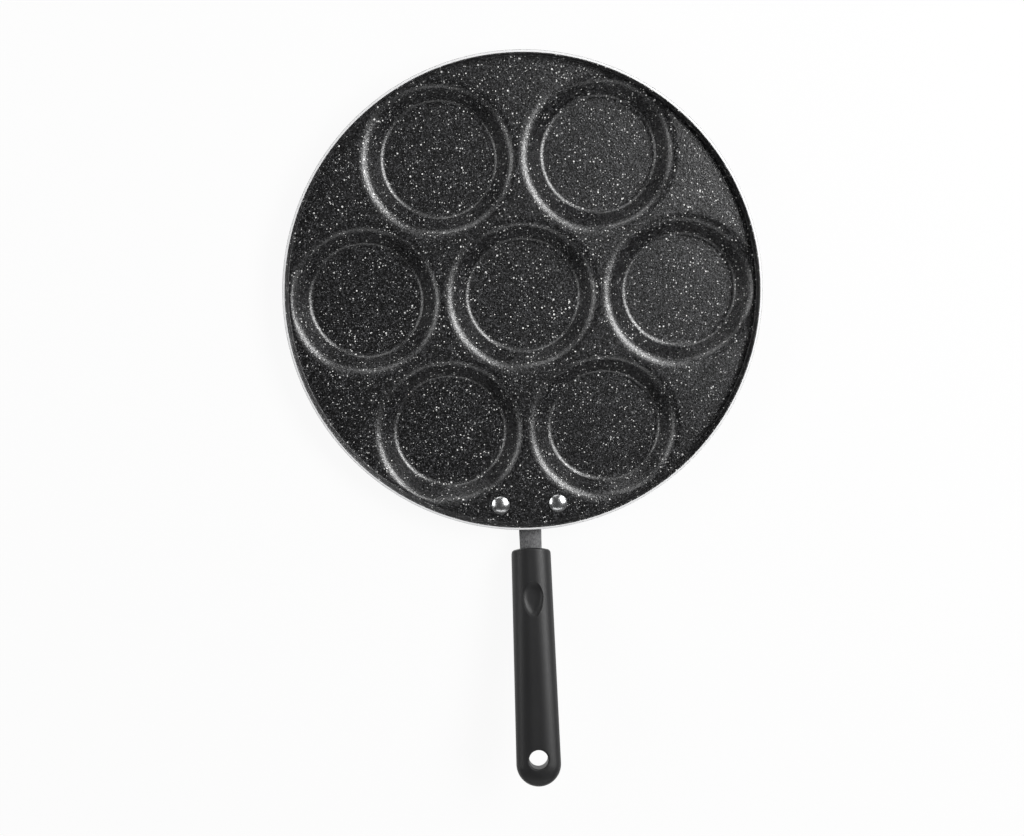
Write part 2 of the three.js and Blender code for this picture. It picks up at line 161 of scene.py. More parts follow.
# Joining of meshes
WELD = 0.002  # points closer than this are joined
SHARP_EDGE = 40  # degrees between two faces past which their edge stays sharp
GRIP_SHARP_EDGE = 22

# Steps of the pan's curves, and points along the borders of its cells
WELL_FLAT_STEPS = 5
WELL_FOOT_STEPS = 10
WELL_SLOPE_STEPS = 4
WELL_MOUTH_STEPS = 12
WELL_LAND_STEPS = 3
CELL_EDGE_POINTS = 45  # along the floor's edge
CELL_SIDE_POINTS = 27  # between two outer wells
CELL_INNER_POINTS = 21  # between an outer well and the middle one
WALL_FOOT_STEPS = 4
WALL_INSIDE_STEPS = 4
WALL_OUTSIDE_STEPS = 3
WALL_OUTER_FOOT_STEPS = 8
LIP_STEPS = 6
LIP_BARE_STEPS = 3  # of the lip's outer rounding, from the top, that the lacquer leaves bare

# Steps of the smaller pieces' curves
RIVET_TAIL_STEPS = 6
RIVET_DOME_STEPS = 20
RIVET_TURN_STEPS = 64
LOBE_STEPS = 24
NECK_FILLET_STEPS = 8
NECK_STEPS = 36
TANG_STEPS = 4
STRIP_CORNER_STEPS = 4
SCREW_FACE_STEPS = 30
SCREW_EDGE_STEPS = 8
SCREW_TURN_STEPS = 96
WASHER_TURN_STEPS = 64
WASHER_SECTION_STEPS = 32

# Rows and columns of the grip's plan
COLUMNS = 24  # on each side of the middle line
FRONT_ROWS = 8  # from the front to the even rows
SCREW_ROWS = 12  # even rows up to the screw
DIMPLE_ROWS = 20  # even rows from the screw to the dimple's middle
PAST_DIMPLE_ROWS = 20  # even rows after it
SHAFT_ROWS = 30
HOLE_ROWS = 12  # on each side of the hole's middle
HOLE_ROWS_REACH = 8.0  # length that those rows take up on each side
END_ROWS = 18
OPENING_CELLS = 6  # rows and columns from the middle of the hole, or of the recess, to its edge
HOLE_REACH = (12, 12)  # rows and columns around the hole that make room for it
RECESS_REACH = (10, 10)
DIMPLE_REACH = (18, 12)
DIMPLE_SHARE = 2 / 3  # of that reach, where the dimple's edge lies
EGG_STEPS = 720
HOLE_ROUND_STEPS = 6
HOLE_BORE_STEPS = 5
GRIP_SIDE_STEPS = 3
FRONT_ROUND_STEPS = 5
FRONT_FACE_STEPS = 4

# Patterns of the finishes. Grains, marks and scuffs are drawn coarser than the real ones, so that they show.
NOISE_LOW = 0.3  # a noise texture mostly stays between these two
NOISE_HIGH = 0.7
FLECK_LAYERS = (  # spacing, largest radius, share of the cells that hold a fleck, and colour
    (0.85, 0.25, 0.9, "#8c8d8f"),
    (1.25, 0.36, 0.6, "#e8e8e6"),
    (2.0, 0.46, 0.5, "#fdfdfb"),
)
FLECK_FADE = 0.15  # share of a fleck's largest radius over which its edge fades
FLECK_PATCH = 9.0  # patches of larger and of smaller flecks
FLECK_WOBBLE = 0.7  # spacing of the bends in a fleck's ragged edge
FLECK_STRAY = 0.35  # how far that edge strays
DUST_SPACING = 0.55
PEBBLE = 0.9
PEBBLE_HEIGHT = 0.12
TOOL_MARK = 0.6
LACQUER_PEEL = 2.2
LACQUER_PEEL_HEIGHT = 0.06
LACQUER_CLOUD = 25.0
RIVET_SCUFF = 1.5
STEEL_GRAIN = 0.6
STEEL_GRAIN_HEIGHT = 0.03
STEEL_DRAW = 0.5  # scale along the strip, which draws the grain out
EGGSHELL = 0.9
EGGSHELL_HEIGHT = 0.03
FLOW_MARK = 12.0
FLOW_DRAW = 0.3  # scale along the grip, which draws the flow marks out

# Stage, in metres and degrees
FLOOR_HALF = 3.0
FLOOR_DROP = 0.0002  # how far the floor lies below the pan
FLOOR_WHITE = 0.93  # share of plain white that the camera and mirrors see in the floor
BACKDROP_TOP = 0.045  # sine of the angle over the horizon at which the white backdrop ends
CEILING_START = 0.075  # and at which the dark ceiling starts
BACKDROP_LIGHT = 0.95
CEILING_LIGHT = 0.01
LAMP_DISTANCE = 1.2
LAMPS = (  # name, azimuth, elevation, width, height and brightness
    ("key_softbox", 20, 49, 0.95, 0.5, 9.4),
    ("fill_softbox", 178, 35, 0.8, 0.36, 3.3),
    ("back_softbox", 108, 30, 0.9, 0.34, 2.6),
    ("front_card", -92, 31, 1.2, 0.26, 1.6),
)
CAMERA_PLACE = (-0.014099, 0.063002, 0.683797)
CAMERA_TILT = (10.5128, 0.5487, 2.0238)  # turns the world into the camera's view
CAMERA_SENSOR = 36.0  # width in millimetres
CAMERA_LENS = 47.05  # millimetres


# Meshes

def arc(x, y, radius, start, end, steps):
    """Points of a circle about (x, y) from one angle to another."""
    angle = np.linspace(start, end, steps + 1)
    return np.stack([x + radius * np.cos(angle), y + radius * np.sin(angle)], axis=1)


def line(start, end, steps):
    """Evenly spaced points from start to end."""
    return np.linspace(start, end, steps + 1)


def around_axis(profile, angle, x=0.0, y=0.0):
    """A profile of radius and height turned about an upright axis at (x, y): angle by profile point."""
    radius = profile[None, :, 0]
    height = np.broadcast_to(profile[None, :, 1], (len(angle), len(profile)))
    turn = angle[:, None]
    return np.stack([x + radius * np.cos(turn), y + radius * np.sin(turn), height], axis=2)


def add_piece(name, patches, materials, node, sharp=SHARP_EDGE):
    """One closed mesh from several grids of points. Each patch is a grid in millimetres, the number of its
    material, and which of its cells to keep, or None for all. Points that coincide are joined, and faces are
    turned outwards."""
    corners, cells, finishes = [], [], []
    start = 0
    for points, finish, keep in patches:
        rows, columns = points.shape[:2]
        number = start + np.arange(rows * columns).reshape(rows, columns)
        grid = np.stack([number[:-1, :-1], number[1:, :-1], number[1:, 1:], number[:-1, 1:]], axis=2)
        kept = grid.reshape(-1, 4) if keep is None else grid[keep]
        corners.append(points.reshape(-1, 3) * MM)
        cells.append(kept)
        finishes.append(np.full(len(kept), finish))
        start += rows * columns
    used, numbers = np.unique(np.concatenate(cells), return_inverse=True)
    mesh = bpy.data.meshes.new(name)
    mesh.from_pydata(np.concatenate(corners)[used].tolist(), [], numbers.reshape(-1, 4).tolist())
    mesh.polygons.foreach_set("material_index", np.concatenate(finishes).astype(np.int32))
    shell = bmesh.new()
    shell.from_mesh(mesh)
    bmesh.ops.remove_doubles(shell, verts=shell.verts, dist=WELD * MM)
    bmesh.ops.recalc_face_normals(shell, faces=shell.faces)
    shell.to_mesh(mesh)
    shell.free()
    mesh.polygons.foreach_set("use_smooth", np.ones(len(mesh.polygons), dtype=bool))
    mesh.set_sharp_from_angle(angle=math.radians(sharp))
    for material in materials:
        mesh.materials.append(material)
    piece = bpy.data.objects.new(name, mesh)
    bpy.context.scene.collection.objects.link(piece)
    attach(piece, "root")
    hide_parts(node)
    return piece


# Pan

def well_profile(offset):
    """Half section of a well from its middle to where its mouth starts to round: a flat bottom, a fillet and
    a straight slope. Also the corner that the mouth rounds. Offset 0 is the inside, where the coating makes
    the fillet larger, and one sheet thickness the outside."""
    fillet = WELL_FOOT_ROUND if offset == 0 else WELL_BOTTOM_FILLET
    foot_radius = WELL_BOTTOM_RADIUS - (fillet - WELL_BOTTOM_FILLET) * math.tan(WELL_SLOPE / 2)
    foot = arc(foot_radius, WELL_FLOOR_Z + fillet, fillet + offset,
               -QUARTER, -QUARTER + WELL_SLOPE, WELL_FOOT_STEPS)
    flat = line((0, foot[0, 1]), foot[0], WELL_FLAT_STEPS)
    corner = np.array([WELL_MOUTH_RADIUS - (WELL_MOUTH_FILLET - offset) * math.tan(WELL_SLOPE / 2),
                       FLOOR_Z - offset])
    slope_end = corner - WELL_MOUTH_RUN * np.array([1, math.tan(WELL_SLOPE)])
    slope = line(foot[-1], slope_end, WELL_SLOPE_STEPS)
    return np.concatenate([flat[:-1], foot, slope[1:]]), corner


def well_cell(x, y, angle, reach, offset):
    """A well with the floor around it: its profile turned about (x, y), a mouth that rounds from the slope
    into the floor as a quadratic curve, then level floor as far as each direction's reach to the border."""
    profile, corner = well_profile(offset)
    shoulder = np.minimum(WELL_SHOULDER, reach - EDGE_LAND / 2)[:, None]
    share = np.linspace(0, 1, WELL_MOUTH_STEPS + 1)[None, 1:]
    from_slope = (1 - share) ** 2
    from_corner = 2 * share * (1 - share)
    from_floor = share ** 2
    mouth_radius = from_slope * profile[-1, 0] + from_corner * corner[0] + from_floor * shoulder
    mouth_height = from_slope * profile[-1, 1] + (1 - from_slope) * corner[1]
    land_share = np.linspace(0, 1, WELL_LAND_STEPS + 1)[None, 1:]
    land_radius = shoulder + land_share * (reach[:, None] - shoulder)
    land_height = np.full(land_share.size, FLOOR_Z - offset)
    turned_radius = np.broadcast_to(profile[None, :, 0], (len(angle), len(profile)))
    radius = np.concatenate([turned_radius, mouth_radius, land_radius], axis=1)
    height = np.concatenate([profile[:, 1], mouth_height[0], land_height])
    height = np.broadcast_to(height, radius.shape)
    turn = angle[:, None]
    return np.stack([x + radius * np.cos(turn), y + radius * np.sin(turn), height], axis=2)


def cell_border():
    """Angles from the outward direction of an outer well, and the reach to its cell's border along each: the
    floor's edge outside, and lines half way to the neighbouring wells. Also the angles around the pan of the
    points on the floor's edge."""
    half_step = WELL_STEP / 2
    half_pitch = WELL_PITCH / 2
    edge_corner = math.atan2(FLOOR_RADIUS * math.sin(half_step),
                             FLOOR_RADIUS * math.cos(half_step) - WELL_PITCH)
    inner_corner = math.pi - half_step
    outside = np.linspace(-edge_corner, edge_corner, CELL_EDGE_POINTS)
    beside = np.linspace(edge_corner, inner_corner, CELL_SIDE_POINTS)
    inside = np.linspace(inner_corner, FULL_TURN - inner_corner, CELL_INNER_POINTS)
    sideways = WELL_PITCH * np.sin(outside)
    edge_reach = np.sqrt(FLOOR_RADIUS ** 2 - sideways ** 2) - WELL_PITCH * np.cos(outside)
    beside_reach = half_pitch / np.cos(beside - QUARTER - half_step)
    inside_reach = half_pitch / np.cos(inside - math.pi)
    angle = np.concatenate([outside, beside[1:], inside[1:], FULL_TURN - beside[-2::-1]])
    reach = np.concatenate([edge_reach, beside_reach[1:], inside_reach[1:], beside_reach[-2::-1]])
    around = np.arctan2(edge_reach * np.sin(outside), WELL_PITCH + edge_reach * np.cos(outside))
    return angle, reach, around


def wall_line(offset, height):
    """Radius of the wall's straight part at a height: the inside at offset 0, moved out by the offset."""
    foot = FLOOR_RADIUS + (WALL_FOOT_FILLET + offset) * math.cos(WALL_DRAFT)
    foot_z = FLOOR_Z + WALL_FOOT_FILLET - (WALL_FOOT_FILLET + offset) * math.sin(WALL_DRAFT)
    return foot + (height - foot_z) * math.tan(WALL_DRAFT)


def lip_centre(offset, radius):
    """Centre of a rounding of the lip that touches the wall's line and the rim's plane."""
    outwards = 1 if offset == 0 else -1
    touch_z = RIM_HEIGHT - radius + outwards * radius * math.sin(WALL_DRAFT)
    return wall_line(offset, touch_z) + outwards * radius * math.cos(WALL_DRAFT), RIM_HEIGHT - radius


def foot_centre(radius):
    """Centre of a rounding inside the pan that touches the floor and the wall's line."""
    touch_z = FLOOR_Z + radius - radius * math.sin(WALL_DRAFT)
    return wall_line(0, touch_z) - radius * math.cos(WALL_DRAFT), FLOOR_Z + radius


def wall_rings(angle):
    """The wall carried around the pan in three rings: the coated inside up to where the coating ends on the
    lip, the bare lip, and the outside."""
    floor_edge = [(FLOOR_RADIUS, FLOOR_Z)]
    coat_edge = [(wall_line(0, RIM_HEIGHT) + COAT_ON_LIP, RIM_HEIGHT)]
    foot = arc(*foot_centre(WALL_FOOT_ROUND), WALL_FOOT_ROUND, -QUARTER, -WALL_DRAFT, WALL_FOOT_STEPS)
    inner_lip = arc(*lip_centre(0, LIP_INNER_ROUND), LIP_INNER_ROUND,
                    math.pi - WALL_DRAFT, QUARTER, LIP_STEPS)
    inner_wall = line(foot[-1], inner_lip[0], WALL_INSIDE_STEPS)
    outer_lip = arc(*lip_centre(SHEET, LIP_OUTER_ROUND), LIP_OUTER_ROUND, QUARTER, -WALL_DRAFT, LIP_STEPS)
    outer_foot = arc(FLOOR_RADIUS, FLOOR_Z + WALL_FOOT_FILLET, WALL_FOOT_FILLET + SHEET,
                     -WALL_DRAFT, -QUARTER, WALL_OUTER_FOOT_STEPS)
    outer_wall = line(outer_lip[-1], outer_foot[0], WALL_OUTSIDE_STEPS)
    coated = np.concatenate([floor_edge, foot, inner_wall[1:], inner_lip[1:], coat_edge])
    bare = np.concatenate([coat_edge, outer_lip[:LIP_BARE_STEPS + 1]])
    outside = np.concatenate([outer_lip[LIP_BARE_STEPS:], outer_wall[1:-1], outer_foot])
    return [around_axis(profile, angle) for profile in (coated, bare, outside)]


def pan_sheet(coating, lip, lacquer):
    """The pressed sheet as one closed skin: the inside and the underside of every well's cell, joined by the
    wall's rings."""
    angle, reach, around = cell_border()
    directions = -QUARTER + (np.arange(OUTER_WELLS) + 0.5) * WELL_STEP
    side_turn = np.linspace(-WELL_STEP / 2, WELL_STEP / 2, CELL_INNER_POINTS)
    side_reach = WELL_PITCH / 2 / np.cos(side_turn)
    middle_angle = np.concatenate([direction + side_turn[:-1] for direction in directions]
                                  + [directions[:1] + side_turn[:1] + FULL_TURN])
    middle_reach = np.append(np.tile(side_reach[:-1], OUTER_WELLS), side_reach[0])
    ring_angle = np.concatenate([direction + around[:-1] for direction in directions]
                                + [directions[:1] + around[:1] + FULL_TURN])
    materials = [coating, lip, lacquer]
    patches = []
    for offset, finish in ((0, materials.index(coating)), (SHEET, materials.index(lacquer))):
        patches.append((well_cell(0, 0, middle_angle, middle_reach, offset), finish, None))
        for direction in directions:
            x = WELL_PITCH * math.cos(direction)
            y = WELL_PITCH * math.sin(direction)
            patches.append((well_cell(x, y, direction + angle, reach, offset), finish, None))
    for finish, ring in enumerate(wall_rings(ring_angle)):
        patches.append((ring, finish, None))
    return add_piece("pan_sheet", patches, materials, "pan_body")


# Rivets

def rivet(name, node, aluminium):
    """A rivet turned about its axis: tail, shank, and a head with a short upright edge under a dome."""
    low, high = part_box(node)
    x = (low.x + high.x) / 2 / MM
    y = (low.y + high.y) / 2 / MM
    dome_height = RIVET_HEAD_HEIGHT - RIVET_HEAD_EDGE
    dome_radius = (RIVET_HEAD_RADIUS ** 2 + dome_height ** 2) / (2 * dome_height)
    dome_z = FLOOR_Z + RIVET_HEAD_HEIGHT - dome_radius
    dome_start = math.asin((FLOOR_Z + RIVET_HEAD_EDGE - dome_z) / dome_radius)
    tail_top = UNDERSIDE_Z - BRACKET_THICKNESS
    tail_bottom = tail_top - RIVET_TAIL_HEIGHT
    profile = np.concatenate([
        [(0, tail_bottom)],
        arc(RIVET_TAIL_RADIUS - RIVET_TAIL_ROUND, tail_bottom + RIVET_TAIL_ROUND, RIVET_TAIL_ROUND,
            -QUARTER, 0, RIVET_TAIL_STEPS),
        [(RIVET_TAIL_RADIUS, tail_top), (RIVET_SHANK_RADIUS, tail_top),
         (RIVET_SHANK_RADIUS, FLOOR_Z), (RIVET_HEAD_RADIUS, FLOOR_Z)],
        arc(0, dome_z, dome_radius, dome_start, QUARTER, RIVET_DOME_STEPS),
    ])
    turned = around_axis(profile, line(0, FULL_TURN, RIVET_TURN_STEPS), x, y)
    return add_piece(name, [(turned, 0, None)], [aluminium], node)


# Bracket

def bracket_outline(rivet_out, rivet_x):
    """Half width of the bracket against distance along its strip: a lobe round each rivet, a shoulder, a
    fillet, then the neck that narrows into the tang."""
    lobe = arc(rivet_x, -rivet_out, BRACKET_LOBE_RADIUS, QUARTER, -QUARTER, LOBE_STEPS)
    shoulder = -rivet_out - BRACKET_LOBE_RADIUS - BRACKET_SHOULDER_RUN
    fillet = arc(NECK_ROOT_WIDTH / 2 + NECK_FILLET, shoulder - NECK_FILLET, NECK_FILLET,
                 QUARTER, math.pi, NECK_FILLET_STEPS)
    neck_end = BEND_START + NECK_BEND_RADIUS * HANDLE_RISE + NECK_LENGTH
    neck = line(fillet[-1], (TANG_WIDTH / 2, -neck_end), NECK_STEPS)
    tang = line(neck[-1], (TANG_WIDTH / 2, -neck_end - TANG_LENGTH), TANG_STEPS)
    outline = np.concatenate([lobe, fillet, neck[1:], tang[1:]])
    return outline[:, 0], -outline[:, 1]


def along_strip(distance):
    """Distance out, height and turn of the strip's middle line: level under the pan, an arc, then the rising
    tang."""
    bend = NECK_BEND_RADIUS * HANDLE_RISE
    turn = np.clip((distance - BEND_START) / NECK_BEND_RADIUS, 0, HANDLE_RISE)
    beyond = np.maximum(distance - BEND_START - bend, 0)
    level = np.minimum(distance, BEND_START)
    out = level + NECK_BEND_RADIUS * np.sin(turn) + beyond * math.cos(HANDLE_RISE)
    height = BRACKET_MID_Z + NECK_BEND_RADIUS * (1 - np.cos(turn)) + beyond * math.sin(HANDLE_RISE)
    return out, height, turn


def neck_bracket(steel):
    """A rounded oblong carried along the strip, as wide as the outline says, and folded shut at both ends."""
    low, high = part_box("rivet_right")
    rivet_x = (low.x + high.x) / 2 / MM
    rivet_out = -(low.y + high.y) / 2 / MM
    width, distance = bracket_outline(rivet_out, rivet_x)
    corner = line(0, QUARTER, STRIP_CORNER_STEPS)
    angle = np.concatenate([corner, corner[::-1], corner, corner[::-1]])
    side = np.repeat([1, -1, -1, 1], len(corner))
    face = np.repeat([1, 1, -1, -1], len(corner))
    across = side * (width[:, None] - BRACKET_CORNER * (1 - np.cos(angle)))
    up = face * (BRACKET_THICKNESS / 2 - BRACKET_CORNER * (1 - np.sin(angle)))
    up = np.broadcast_to(up, across.shape)
    across = np.concatenate([across[:1], across, across[-1:]])
    up = np.concatenate([0 * up[:1], up, 0 * up[-1:]])
    distance = np.concatenate([distance[:1], distance, distance[-1:]])
    out, height, turn = along_strip(distance)
    points = np.stack([across, -out[:, None] + up * np.sin(turn)[:, None],
                       height[:, None] + up * np.cos(turn)[:, None]], axis=2)
    loop = np.concatenate([points, points[:, :1]], axis=1)
    return add_piece("neck_bracket", [(loop, 0, None)], [steel], "handle_bracket")


# Grip

def in_grip_frame(across, along, up):
    """Points of the grip's own frame, across, along the tang from the grip's front and up from the tang."""
    out = GRIP_FRONT_OUT + along * math.cos(HANDLE_RISE) - up * math.sin(HANDLE_RISE)
    height = GRIP_FRONT_Z + along * math.sin(HANDLE_RISE) + up * math.cos(HANDLE_RISE)
    return np.stack([across, -out, height], axis=-1)


def grip_rows():
    """Distances of the grip's cross-sections from its front, closer together at the screw, the dimple and the
    hole, and following the round end. Also the rows of the screw, the dimple and the hole."""
    spacing = (DIMPLE_INSET - SCREW_INSET) / DIMPLE_ROWS
    even = DIMPLE_INSET + spacing * np.arange(-SCREW_ROWS - DIMPLE_ROWS, PAST_DIMPLE_ROWS + 1)
    hole_centre = GRIP_LENGTH - HANG_HOLE_INSET
    hole = hole_centre + line(-HOLE_ROWS_REACH, HOLE_ROWS_REACH, 2 * HOLE_ROWS)
    end_radius = GRIP_END_WIDTH / 2
    last_turn = math.asin((hole[-1] - GRIP_END_CENTRE) / end_radius)
    end = GRIP_END_CENTRE + end_radius * np.sin(line(last_turn, QUARTER, END_ROWS))
    front = line(GRIP_FRONT_ROUND, even[0], FRONT_ROWS)
    shaft = line(even[-1], hole[0], SHAFT_ROWS)
    rows = np.concatenate([front[:-1], even, shaft[1:-1], hole, end[1:]])
    screw_row = FRONT_ROWS + SCREW_ROWS
    dimple_row = screw_row + DIMPLE_ROWS
    hole_row = dimple_row + PAST_DIMPLE_ROWS + SHAFT_ROWS + HOLE_ROWS
    return rows, screw_row, dimple_row, hole_row


def grip_half_width(along):
    """Straight sides that spread to the round end."""
    straight = GRIP_FRONT_WIDTH + (GRIP_END_WIDTH - GRIP_FRONT_WIDTH) * along / GRIP_END_CENTRE
    past = np.maximum(along - GRIP_END_CENTRE, 0)
    end = np.sqrt(np.maximum((GRIP_END_WIDTH / 2) ** 2 - past ** 2, 0))
    return np.where(along < GRIP_END_CENTRE, straight / 2, end)


def grip_half_height(across, along):
    """Height of the crowned top over the tang: a quarter ellipse in from the nearest side, thinner towards
    the grip's end."""
    past = np.maximum(along - GRIP_END_CENTRE, 0)
    sides = grip_half_width(np.minimum(along, GRIP_END_CENTRE))
    from_side = sides - np.hypot(across, past)
    inwards = np.clip(1 - from_side / GRIP_EDGE_WIDTH, 0, 1)
    thinning = 1 + (GRIP_END_HEIGHT / GRIP_FRONT_HEIGHT - 1) * along / GRIP_LENGTH
    return thinning * (GRIP_FRONT_HEIGHT / 2 - GRIP_EDGE_HEIGHT * (1 - np.sqrt(1 - inwards ** 2)))


def front_bow(across):
    """How far the front face lies behind its foremost point: a shallow arc with round corners."""
    half = GRIP_FRONT_WIDTH / 2 - GRIP_FRONT_CORNER
    radius = (half ** 2 + GRIP_FRONT_BOW ** 2) / (2 * GRIP_FRONT_BOW)
    from_middle = np.abs(across)
    face = radius - np.sqrt(radius ** 2 - np.minimum(from_middle, half) ** 2)
    in_corner = np.clip(from_middle - half, 0, GRIP_FRONT_CORNER)
    return face + GRIP_FRONT_CORNER - np.sqrt(GRIP_FRONT_CORNER ** 2 - in_corner ** 2)


def row_and_column(rows):
    """Row and column numbers of every point of the grip's plan, columns counted from its middle line."""
    return np.meshgrid(np.arange(len(rows)), np.arange(-COLUMNS, COLUMNS + 1), indexing="ij")


def grip_plan(row, column, rows):
    """Across and along for row and column numbers, which may lie between whole ones: columns crowd towards
    the sides as a sine, and the first rows follow the bowed front."""
    along = np.interp(row, np.arange(len(rows)), rows)
    across = grip_half_width(along) * np.sin(QUARTER * column / COLUMNS)
    fade = np.clip(1 - (along - GRIP_FRONT_ROUND) / GRIP_FRONT_FADE, 0, 1) ** 2
    return across, along + front_bow(across) * fade


def open_ring(plan, rows, centre_row, reach, ring, outline):
    """Moves the rows and columns around a centre so that the square of them at the given ring lies on an
    outline, a radius for each direction. The rings outside it blend back to where they were, and those inside
    it shrink to the middle. Returns the moved plan and each point's place as a share of the ring."""
    across, along = plan
    row, column = row_and_column(rows)
    row = row - centre_row
    square = np.maximum(np.abs(row) / reach[0], np.abs(column) / reach[1])
    spread = np.where(square > 0, 1 / np.maximum(square, TINY), 0)
    border_across, border_along = grip_plan(centre_row + row * spread, column * spread, rows)
    centre = rows[centre_row]
    direction = np.arctan2(border_along - centre, border_across)
    radius = outline(direction)
    blend = np.clip((square - ring) / (1 - ring), 0, 1)
    inner = np.minimum(square / ring, 1)
    ring_across = radius * np.cos(direction) * inner
    ring_along = radius * np.sin(direction) * inner
    moved = square < 1
    across = np.where(moved, ring_across + blend * (border_across - ring_across), across)
    along = np.where(moved, centre + ring_along + blend * (border_along - centre - ring_along), along)
    return (across, along), square / ring


def egg_outline(direction):
    """Radius of the dimple's egg for each direction, wider towards the grip's front."""
    turn = line(-math.pi, math.pi, EGG_STEPS)
    across = DIMPLE_WIDTH / 2 * np.cos(turn) * (1 - DIMPLE_TAPER * np.sin(turn))
    along = DIMPLE_LENGTH / 2 * np.sin(turn)
    return np.interp(direction, np.arctan2(along, across), np.hypot(across, along))


def hole_outline(direction):
    """Radius of the hanging hole's rounded mouth, the same for each direction."""
    return np.full_like(direction, HANG_HOLE_RADIUS + HANG_HOLE_ROUND)


def recess_outline(direction):
    """Radius of the screw's recess, the same for each direction."""
    return np.full_like(direction, SCREW_HEAD_RADIUS + RECESS_CLEARANCE)


def grip_faces(rows, screw_row, dimple_row, hole_row):
    """The top and the underside as grids over one plan: the dimple's egg and the hole are opened in the top,
    which drops inside the egg as a power of the share of its radius, and the hole and the recess in the
    underside."""
    plan = grip_plan(*row_and_column(rows), rows)
    hole = (hole_row, HOLE_REACH, OPENING_CELLS / HOLE_REACH[0], hole_outline)
    recess = (screw_row, RECESS_REACH, OPENING_CELLS / RECESS_REACH[0], recess_outline)
    top, egg = open_ring(plan, rows, dimple_row, DIMPLE_REACH, DIMPLE_SHARE, egg_outline)
    top, _ = open_ring(top, rows, *hole)
    under, _ = open_ring(plan, rows, *hole)
    under, _ = open_ring(under, rows, *recess)
    dip = DIMPLE_DEPTH * (1 - np.minimum(egg, 1) ** DIMPLE_STEEPNESS)
    crown = grip_half_height(*top) - dip
    belly = -grip_half_height(*under)
    return np.stack([*top, crown], axis=2), np.stack([*under, belly], axis=2)


def opening_cells(grid, centre_row):
    """Marks the square of cells that the hole or the recess takes up."""
    cells = np.zeros((grid.shape[0] - 1, grid.shape[1] - 1), dtype=bool)
    cells[centre_row - OPENING_CELLS:centre_row + OPENING_CELLS,
          COLUMNS - OPENING_CELLS:COLUMNS + OPENING_CELLS] = True
    return cells


def opening_border(grid, centre_row):
    """The closed loop of points around that square, one way round."""
    low, high = centre_row - OPENING_CELLS, centre_row + OPENING_CELLS
    left, right = COLUMNS - OPENING_CELLS, COLUMNS + OPENING_CELLS
    return np.concatenate([grid[low, left:right], grid[low:high, right], grid[high, right:left:-1],
                           grid[high:low:-1, left], grid[low:low + 1, left]])


def hole_mouth(border, centre, face):
    """Loops that roll from a border on the grip's surface into the hanging hole: a quarter circle towards its
    axis, downwards from the top, where face is 1, and upwards from the underside, where it is -1."""
    across, along, up = border[:, 0], border[:, 1] - centre, border[:, 2]
    direction = np.arctan2(along, across)[None, :]
    turn = line(0, QUARTER, HOLE_ROUND_STEPS)[:, None]
    rolled = HANG_HOLE_RADIUS + HANG_HOLE_ROUND * (1 - np.sin(turn))
    sunk = up[None, :] - face * HANG_HOLE_ROUND * (1 - np.cos(turn))
    return np.stack([rolled * np.cos(direction), centre + rolled * np.sin(direction), sunk], axis=2)


def hole_loops(top, under, hole_row, centre):
    """The hanging hole: a rolled mouth in each face, and a straight bore between them."""
    top_mouth = hole_mouth(opening_border(top, hole_row), centre, 1)
    under_mouth = hole_mouth(opening_border(under, hole_row), centre, -1)
    bore = line(top_mouth[-1], under_mouth[-1], HOLE_BORE_STEPS)
    return np.concatenate([top_mouth, bore[1:-1], under_mouth[::-1]])


def washer_seat():
    """Height over the tang of the recess's bottom, where the washer sits, which is negative."""
    return RECESS_DEPTH - float(grip_half_height(0.0, SCREW_INSET))


def recess_loops(under, screw_row):
    """The screw's recess: straight sides up from the underside to its bottom, shut in the middle."""
    border = opening_border(under, screw_row)
    seat = border.copy()
    seat[:, 2] = washer_seat()
    middle = np.broadcast_to(np.array([0, SCREW_INSET, washer_seat()]), seat.shape)
    return np.stack([border, seat, middle])


def front_loops(section):
    """Loops from the grip's first cross-section around its front edge, over the bowed front face to the
    tang's slot, along the slot and shut at its end."""
    across, up = section[:, 0], section[:, 2]
    turn = line(0, QUARTER, FRONT_ROUND_STEPS)[:, None]
    inset = GRIP_FRONT_ROUND * (1 - np.cos(turn))
    edge_across = across * (1 - inset / (GRIP_FRONT_WIDTH / 2))
    edge_up = up * (1 - inset / (GRIP_FRONT_HEIGHT / 2))
    edge_along = front_bow(edge_across) + GRIP_FRONT_ROUND * (1 - np.sin(turn))
    slot_across = TANG_WIDTH / 2 + FIT_GAP
    slot_up = BRACKET_THICKNESS / 2 + FIT_GAP
    scale = np.minimum(slot_across / np.maximum(np.abs(across), TINY), slot_up / np.maximum(np.abs(up), TINY))
    share = line(0, 1, FRONT_FACE_STEPS)[1:, None]
    face_across = edge_across[-1] + share * (across * scale - edge_across[-1])
    face_up = edge_up[-1] + share * (up * scale - edge_up[-1])
    front = np.stack([np.concatenate([edge_across, face_across]),
                      np.concatenate([edge_along, front_bow(face_across)]),
                      np.concatenate([edge_up, face_up])], axis=2)
    slot_end = front[-1].copy()
    slot_end[:, 1] = TANG_LENGTH + FIT_GAP
    shut = slot_end * np.array([0, 1, 0])
    return np.concatenate([front, slot_end[None], shut[None]])


